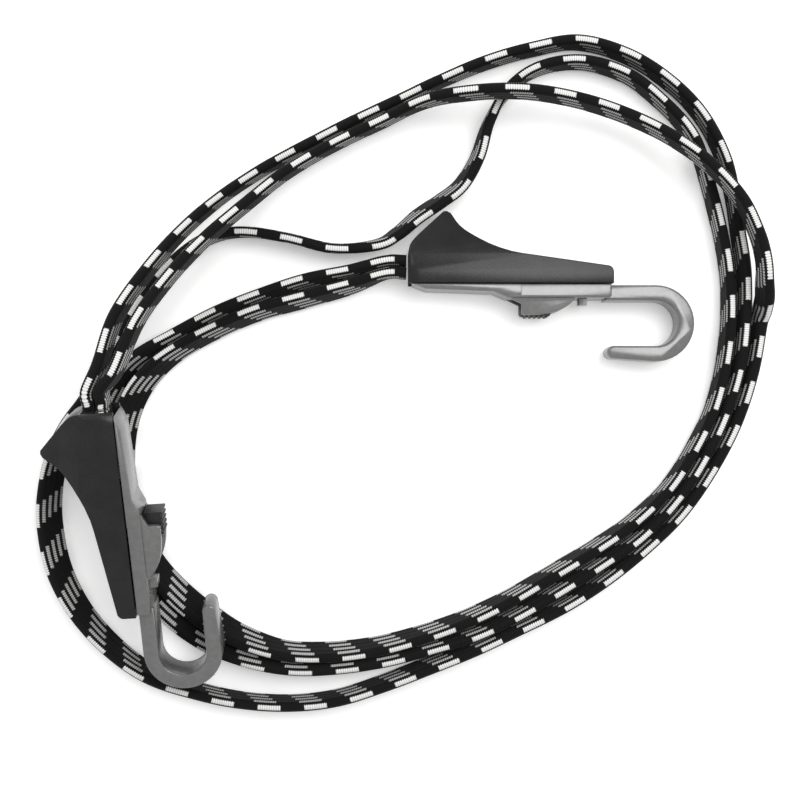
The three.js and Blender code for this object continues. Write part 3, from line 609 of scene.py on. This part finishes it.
def strap_material():
    """Black woven sleeve with pale dashes: diagonal weave on the black, ribs across the dashes."""
    made, g, shader = material("woven_sleeve", Specular_IOR_Level=0.12, Sheen_Weight=0.05,
                               Sheen_Roughness=0.4)
    split = g.node("ShaderNodeSeparateXYZ")
    g.feed(split.inputs[0], g.node("ShaderNodeUVMap", uv_map="length").outputs[0])
    along, around = split.outputs[0], split.outputs[1]

    number, off_row, edge_row = woven_rows(g, around)
    rib_level = wave(g, g.math("MULTIPLY", along, 2 * math.pi / RIB))
    dash = g.math("MULTIPLY", dash_length(g, along, number),
                  dash_width(g, off_row, edge_row, rib_level))
    weave_level = wave(g, g.math("ADD", g.math("MULTIPLY", along, 2 * math.pi / WEAVE),
                                 g.math("MULTIPLY", around, 2 * math.pi / WEAVE)))
    fuzz = g.noise(g.place(), **FUZZ)

    black = g.mix(g.math("MULTIPLY", weave_level, fuzz), *SLEEVE_TONES)
    pale_level = g.math("MULTIPLY_ADD", rib_level, RIB_TONE_SHARE,
                        g.math("MULTIPLY", fuzz, 1 - RIB_TONE_SHARE))
    # Dashes on the faces take the darker tones as painted shade, and those on the edges the
    # lighter.
    pale = g.mix(edge_row, g.mix(pale_level, *SHADED_FACE_TONES), g.mix(pale_level, *EDGE_TONES))
    g.feed(shader.inputs["Base Color"], g.mix(dash, black, pale))
    g.feed(shader.inputs["Roughness"], g.blend(dash, SLEEVE_ROUGHNESS, DASH_ROUGHNESS))

    threads = g.math("MULTIPLY", g.blend(dash, weave_level, rib_level), THREAD_RISE)
    relief = g.math("ADD", g.math("MULTIPLY", dash, DASH_RISE),
                    g.math("MULTIPLY", fuzz, FUZZ_RISE))
    height = g.math("ADD", threads, relief)
    g.feed(shader.inputs["Normal"], g.bump(height, SLEEVE_DEPTH, SLEEVE_BUMP))
    return made


sleeve = strap_material()
for piece in strap_pieces:
    dress(piece, sleeve)
print("dressed", len(strap_pieces), "strap pieces in", sleeve.name)

# %% [markdown]
# ## Moulded hooks
#
# The real bodies, covers and sliders are injection moulded, and a mould's edges are never quite
# sharp. They could be modelled again as smooth surfaces, but then they would no longer fit the
# mechanism. So each is shown by a copy of its CAD shape, with its flat faces merged and its
# sharp rims rounded by a small bevel.

# %% Rounded copies
WELD = 0.005 * MM
FLAT_ANGLE = math.radians(1.5)
BEVEL_ANGLE = math.radians(32)
BEVEL_STEPS = 2
BODY_BEVEL = 0.3 * MM
COVER_BEVEL = 0.35 * MM
SLIDER_BEVEL = 0.15 * MM


def rounded(node, body, radius):
    """A copy of a CAD node with its flat faces merged and its rims rounded by the radius."""
    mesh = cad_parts[node].data.copy()
    piece = linked(f"moulded_{node}", mesh)
    weld = piece.modifiers.new("weld", "WELD")
    weld.merge_threshold = WELD
    flats = piece.modifiers.new("flats", "DECIMATE")
    flats.decimate_type = "DISSOLVE"
    flats.angle_limit = FLAT_ANGLE
    rim = piece.modifiers.new("rim", "BEVEL")
    rim.width = radius
    rim.segments = BEVEL_STEPS
    rim.limit_method = "ANGLE"
    rim.angle_limit = BEVEL_ANGLE
    rim.harden_normals = True
    mesh.polygons.foreach_set("use_smooth", [True] * len(mesh.polygons))
    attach(piece, body)
    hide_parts(node)
    return piece


moulded = {}
for which in ("one", "two"):
    moulded[f"body_{which}"] = rounded(f"hook_body_{which}", "base", BODY_BEVEL)
    moulded[f"cover_{which}"] = rounded(f"grip_cover_{which}", "base", COVER_BEVEL)
    moulded[f"slider_{which}"] = rounded(f"release_slider_{which}", f"slider_{which}",
                                         SLIDER_BEVEL)
print("rounded copies:", sorted(moulded))

# %% [markdown]
# ## Hook materials
#
# On the real hooks the grips and sliders are black plastic, the bodies grey nylon, and the pins
# and rockers plated steel. Moulds are spark-eroded, so plastic has a fine even grain, and its
# melt cools into faint clouds of tone. A picture of plastic would tie these to one view. Here
# they are noise on Object coordinates, in one shared node group that gives two masks, so every
# material can mix its own colours, gloss and bump from them.

# %% Shared mould texture
CLOUD_NOISE = {"detail": 4.0, "roughness": 0.6}
GRAIN_NOISE = {"detail": 2.0, "roughness": 0.6}
CLOUD_LOW, CLOUD_HIGH = 0.3, 0.7


def mould_texture():
    """A node group: Clouds is slow noise stretched to 0..1, Grain is the mould's fine noise."""
    group = bpy.data.node_groups.new("mould_texture", "ShaderNodeTree")
    for title in ("Cloud Scale", "Grain Scale"):
        group.interface.new_socket(name=title, in_out="INPUT", socket_type="NodeSocketFloat")
    for title in ("Clouds", "Grain"):
        group.interface.new_socket(name=title, in_out="OUTPUT", socket_type="NodeSocketFloat")
    g = Graph(group)
    given = g.node("NodeGroupInput").outputs
    result = g.node("NodeGroupOutput").inputs
    clouds = g.noise(g.place(), given["Cloud Scale"], **CLOUD_NOISE)
    g.feed(result["Clouds"], g.step(clouds, CLOUD_LOW, CLOUD_HIGH))
    g.feed(result["Grain"], g.noise(g.place(), given["Grain Scale"], **GRAIN_NOISE))
    return group


texture = mould_texture()


def textured(g, cloud_scale, grain_scale):
    """Places the shared group in a material and returns its Clouds and Grain masks."""
    placed = g.node("ShaderNodeGroup", node_tree=texture)
    masks = g.filled(placed, {"Cloud Scale": cloud_scale, "Grain Scale": grain_scale})
    return masks["Clouds"], masks["Grain"]


sockets = {item.name: item.in_out for item in texture.interface.items_tree}
print("shared group:", texture.name, sockets)

# %% Moulded plastics
GRAIN_DEPTH = 0.03 * MM
GRAIN_BUMP = 0.6
GRAIN_GLOSS = 0.18
PLASTICS = {
    "grip_plastic": {
        "tones": ((0.004, 0.004, 0.0045, 1), (0.009, 0.009, 0.0095, 1)),
        "shine": 0.28, "roughness": 0.28, "cloud_scale": 120.0, "grain_scale": 2600.0},
    "grey_nylon": {
        "tones": ((0.085, 0.085, 0.084, 1), (0.105, 0.105, 0.1035, 1)),
        "shine": 1.0, "roughness": 0.22, "cloud_scale": 420.0, "grain_scale": 2200.0},
    "slider_plastic": {
        "tones": ((0.005, 0.005, 0.005, 1), (0.012, 0.012, 0.0125, 1)),
        "shine": 0.3, "roughness": 0.45, "cloud_scale": 200.0, "grain_scale": 2600.0},
}


def moulded_material(name, tones, shine, roughness, cloud_scale, grain_scale):
    """Moulded plastic: a tone between two colours by Clouds, with gloss and bump by Grain.

    Its roughness is the middle value plus GRAIN_GLOSS * (grain - 1/2)."""
    made, g, shader = material(name, Specular_IOR_Level=shine)
    clouds, grain = textured(g, cloud_scale, grain_scale)
    rough = g.math("MULTIPLY_ADD", grain, GRAIN_GLOSS, roughness - GRAIN_GLOSS / 2)
    g.feed(shader.inputs["Base Color"], g.mix(clouds, *tones))
    g.feed(shader.inputs["Roughness"], rough)
    g.feed(shader.inputs["Normal"], g.bump(grain, GRAIN_DEPTH, GRAIN_BUMP))
    return made


grip, nylon, slider = (moulded_material(name, **looks) for name, looks in PLASTICS.items())
print("plastics:", grip.name, nylon.name, slider.name)

# %% Plated steel
STEEL_SCALES = 500.0, 3000.0
STEEL_TONES = (0.42, 0.42, 0.43, 1), (0.62, 0.62, 0.61, 1)
STEEL_ROUGHNESS = 0.25
STEEL_GLOSS = 0.2
PLATING_DEPTH = 0.02 * MM
PLATING_BUMP = 0.5


def steel_material():
    """Zinc-plated steel: cloudy plating over a fine grain."""
    made, g, shader = material("plated_steel", Metallic=1.0)
    clouds, grain = textured(g, *STEEL_SCALES)
    rough = g.math("MULTIPLY_ADD", clouds, STEEL_GLOSS, STEEL_ROUGHNESS)
    g.feed(shader.inputs["Base Color"], g.mix(clouds, *STEEL_TONES))
    g.feed(shader.inputs["Roughness"], rough)
    g.feed(shader.inputs["Normal"], g.bump(grain, PLATING_DEPTH, PLATING_BUMP))
    return made


steel = steel_material()
print("steel:", steel.name)

# %% Dressed hooks
STEEL_NODES = ("turn_bar", "lock_rocker", "rocker_pin", "cover_screw")

for which in ("one", "two"):
    dress(moulded[f"body_{which}"], nylon)
    dress(moulded[f"cover_{which}"], grip)
    dress(moulded[f"slider_{which}"], slider)
    for node in STEEL_NODES:
        dress(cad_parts[f"{node}_{which}"], steel)
print("materials:", sorted(made.name for made in bpy.data.materials))

# %% [markdown]
# ## Floor
#
# The photograph has a plain white ground with hardly a shadow. Brighter lamps would whiten a
# floor but wash out the plastic, and a cut-out would lose the ground altogether. So the lamps
# stay at a level where a colour renders about as it is written, and the floor adds a little
# white of its own for the rays that see it: the camera's, and those that a glossy or clear
# surface sends on.

# %% Floor
FLOOR_REACH = 3.0
FLOOR_TONE = (0.93, 0.93, 0.925, 1)
FLOOR_ROUGHNESS = 0.9
FLOOR_LIFT = 0.28
WHITE = (1, 1, 1, 1)


def seen(g):
    """1 for rays from the camera or by way of a glossy or clear surface, 0 for those that light."""
    rays = g.node("ShaderNodeLightPath").outputs
    both = g.math("ADD", rays["Is Camera Ray"], rays["Is Glossy Ray"])
    return g.math("ADD", both, rays["Is Transmission Ray"], clamp=True)


corners = [(-FLOOR_REACH, -FLOOR_REACH, 0), (FLOOR_REACH, -FLOOR_REACH, 0),
           (FLOOR_REACH, FLOOR_REACH, 0), (-FLOOR_REACH, FLOOR_REACH, 0)]
floor_mesh = bpy.data.meshes.new("floor")
floor_mesh.from_pydata(corners, [], [(0, 1, 2, 3)])
floor = linked("floor", floor_mesh)
paper, ink, sheet = material("paper", Base_Color=FLOOR_TONE, Roughness=FLOOR_ROUGHNESS,
                             Emission_Color=WHITE)
ink.feed(sheet.inputs["Emission Strength"], ink.math("MULTIPLY", seen(ink), FLOOR_LIFT))
dress(floor, paper)
print("floor:", 2 * FLOOR_REACH, "m wide")

# %% [markdown]
# ## Light
#
# In the photograph hook one's flat side shines, and hook two's, which leans the other way,
# stays dark. One bare lamp would give such a shine but black shadows, and an even white dome
# would give no shadow and no shine. So a plain surround lights every side, and two soft lamps
# shape it. The key lamp hangs where hook one's side mirrors it. The fill lamp is lower and to
# the left, where it reaches the inner faces of the strap at the right. The surround looks white
# to the rays that see it, as the floor does.

# %% Surround and lamps
SURROUND = 0.5
LOOK_AT = np.array([0.0, 0.0, 0.02])
LAMPS = {
    "key": {"place": (0.28, 0.26, 0.8), "size": 0.55, "power": 5.5},
    "fill": {"place": (-0.6, 0.45, 0.5), "size": 0.6, "power": 2.5},
}

surround = bpy.data.worlds.new("surround")
surround.use_nodes = True
sky = Graph(surround.node_tree)
background = surround.node_tree.nodes["Background"]
background.inputs["Color"].default_value = WHITE
sky.feed(background.inputs["Strength"], sky.blend(seen(sky), SURROUND, 1.0))
bpy.context.scene.world = surround


def lamp(name, place, size, power):
    """A square soft lamp that looks at LOOK_AT.

    It is tipped by acos(-z / length) of the way there, then turned to that way's bearing."""
    data = bpy.data.lights.new(name, "AREA")
    data.size = size
    data.energy = power
    made = linked(name, data)
    made.location = place
    target = LOOK_AT - np.array(place)
    tip = math.acos(-target[2] / np.linalg.norm(target))
    made.rotation_euler = (tip, 0, math.atan2(target[1], target[0]) - math.pi / 2)
    return made


lamps = [lamp(name, **values) for name, values in LAMPS.items()]
print("lamps:", [made.name for made in lamps])
